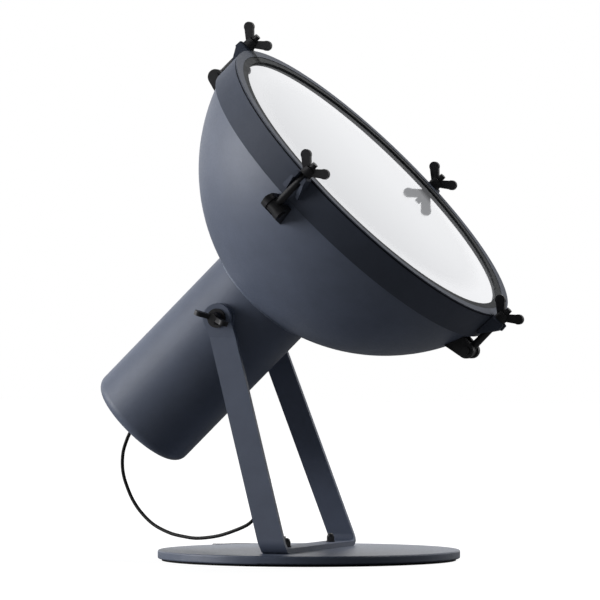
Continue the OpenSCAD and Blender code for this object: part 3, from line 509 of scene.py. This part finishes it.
FINISHES = {
    bowl_paint: "yoke_bracket rear_housing bowl",
    base_paint: "base_plate",
    rim_paint: "rim_band front_bezel",
    black_metal: "yoke_studs yoke_washers yoke_nuts clamp_lugs clamp_pins "
                 "pivot_studs pivot_washers clip_screw "
                 "swing_bolt_top swing_bolt_near swing_bolt_bottom swing_bolt_far "
                 "wing_nut_top wing_nut_near wing_nut_bottom wing_nut_far "
                 "pivot_wing_nut_near pivot_wing_nut_far",
    seal_rubber: "glass_seal",
    rubber: "base_pad rim_gasket friction_washers cable_clip cable_gland gland_nut cord_tie",
    cord_sheath: "inner_flex",
    black_plastic: "switch_base switch_cover switch_rocker plug_body",
    opal_glass: "front_glass",
    bulb_glass: "bulb_glass",
    bright_metal: "glass_retainer reflector holder_plate plate_screws bulb_cap "
                  "switch_screws plug_pins",
    ceramic: "lamp_holder terminal_block",
}
materials = {}
for make, names in FINISHES.items():
    materials[make.__name__] = make()
    for name in names.split():
        slots = nodes[name].data.materials
        slots.clear()
        slots.append(materials[make.__name__])
for cord in (lamp_flex, switch_tail, mains_lead):
    cord.data.materials.append(materials["cord_sheath"])
neck_bead.data.materials.append(bead_highlight_paint())


# Stage: a pale floor and a white studio, with one soft light from the left and one from above
def any_ray(tree, *kinds):
    """Is 1 for rays of the named kinds, else 0."""
    path = tree.nodes.new("ShaderNodeLightPath")
    result = path.outputs[kinds[0]]
    for kind in kinds[1:]:
        either = tree.nodes.new("ShaderNodeMath")
        either.operation = "MAXIMUM"
        tree.links.new(result, either.inputs[0])
        tree.links.new(path.outputs[kind], either.inputs[1])
        result = either.outputs[0]
    return result


def mixed(tree, share, low, high):
    """The high shader where the share is 1, the low one where it is 0."""
    mix = tree.nodes.new("ShaderNodeMixShader")
    tree.links.new(share, mix.inputs[0])
    tree.links.new(low, mix.inputs[1])
    tree.links.new(high, mix.inputs[2])
    return mix.outputs[0]


def spanned(tree, source, start, end, low, high):
    """A value that goes from low to high while the source goes from start to end."""
    node = tree.nodes.new("ShaderNodeMapRange")
    for socket, value in (("From Min", start), ("From Max", end), ("To Min", low), ("To Max", high)):
        node.inputs[socket].default_value = value
    tree.links.new(source, node.inputs["Value"])
    return node.outputs["Result"]


def background(tree, colour, strength):
    node = tree.nodes.new("ShaderNodeBackground")
    node.inputs["Color"].default_value = (*colour, 1)
    node.inputs["Strength"].default_value = strength
    return node


WHITE = (1, 1, 1)
COOL_WHITE = (0.88, 0.94, 1.0)
AMBIENT = 0.1
# What the lamp mirrors: (start, end, low, high), brighter behind the lamp and dimmer overhead
MIRRORED_BEHIND = (-0.5, 0.4, 0.15, 1.0)
MIRRORED_ABOVE = (0.3, 0.78, 1.0, 0.3)
FLOOR_HALF = 8
FLOOR_GREY = (0.2, 0.2, 0.2)
# The floor's own white by the distance from the lamp: (start, end, low, high)
FLOOR_WHITE = (0.3, 1.6, 0.93, 1.0)

world = bpy.data.worlds.new("studio")
scene.world = world
world.use_nodes = True
tree = world.node_tree
tree.nodes.clear()
ambient = background(tree, COOL_WHITE, AMBIENT)
backdrop = background(tree, WHITE, 1.0)
mirrored = background(tree, WHITE, 1.0)
direction = tree.nodes.new("ShaderNodeTexCoord")
facing = tree.nodes.new("ShaderNodeVectorMath")
facing.operation = "DOT_PRODUCT"
facing.inputs[1].default_value = ahead
tree.links.new(direction.outputs["Generated"], facing.inputs[0])
height = tree.nodes.new("ShaderNodeSeparateXYZ")
tree.links.new(direction.outputs["Generated"], height.inputs[0])
level = tree.nodes.new("ShaderNodeMath")
level.operation = "MULTIPLY"
tree.links.new(spanned(tree, facing.outputs["Value"], *MIRRORED_BEHIND), level.inputs[0])
tree.links.new(spanned(tree, height.outputs["Z"], *MIRRORED_ABOVE), level.inputs[1])
tree.links.new(level.outputs[0], mirrored.inputs["Strength"])
soft = mixed(tree, any_ray(tree, "Is Glossy Ray"), ambient.outputs[0], mirrored.outputs[0])
output = tree.nodes.new("ShaderNodeOutputWorld")
tree.links.new(mixed(tree, any_ray(tree, "Is Camera Ray", "Is Transmission Ray"), soft, backdrop.outputs[0]),
               output.inputs["Surface"])

floor_mesh = bpy.data.meshes.new("floor")
corners = [(x * FLOOR_HALF, y * FLOOR_HALF, 0) for x, y in ((-1, -1), (1, -1), (1, 1), (-1, 1))]
floor_mesh.from_pydata(corners, [], [(0, 1, 2, 3)])
floor = bpy.data.objects.new("floor", floor_mesh)
scene.collection.objects.link(floor)
floor_material = bpy.data.materials.new("floor_white")
floor_material.use_nodes = True
tree = floor_material.node_tree
tree.nodes.clear()
paper = tree.nodes.new("ShaderNodeBsdfDiffuse")
paper.inputs["Color"].default_value = (*FLOOR_GREY, 1)
glow = tree.nodes.new("ShaderNodeEmission")
glow.inputs["Color"].default_value = (*WHITE, 1)
place = tree.nodes.new("ShaderNodeNewGeometry")
reach = tree.nodes.new("ShaderNodeVectorMath")
reach.operation = "LENGTH"
tree.links.new(place.outputs["Position"], reach.inputs[0])
tree.links.new(spanned(tree, reach.outputs["Value"], *FLOOR_WHITE), glow.inputs["Strength"])
sheet = tree.nodes.new("ShaderNodeAddShader")
tree.links.new(paper.outputs[0], sheet.inputs[0])
tree.links.new(glow.outputs[0], sheet.inputs[1])
output = tree.nodes.new("ShaderNodeOutputMaterial")
tree.links.new(mixed(tree, any_ray(tree, "Is Camera Ray"), paper.outputs[0], sheet.outputs[0]),
               output.inputs["Surface"])
floor_mesh.materials.append(floor_material)


def soft_light(name, place, aim, size, watts):
    """Round soft light at a place, turned to a point."""
    data = bpy.data.lights.new(name, "AREA")
    data.shape = "DISK"
    data.size = size
    data.energy = watts
    light = bpy.data.objects.new(name, data)
    scene.collection.objects.link(light)
    light.location = place
    light.rotation_euler = (Vector(aim) - Vector(place)).to_track_quat("-Z", "Y").to_euler()


AIM = (0, 0, 0.25)
soft_light("key", right * -2.7 + ahead * -0.1 + Vector((0, 0, 0.6)), AIM, 2.4, 81)
soft_light("overhead", right * 0.8 + ahead * 1.1 + Vector((0, 0, 2.9)), AIM, 2.0, 84)
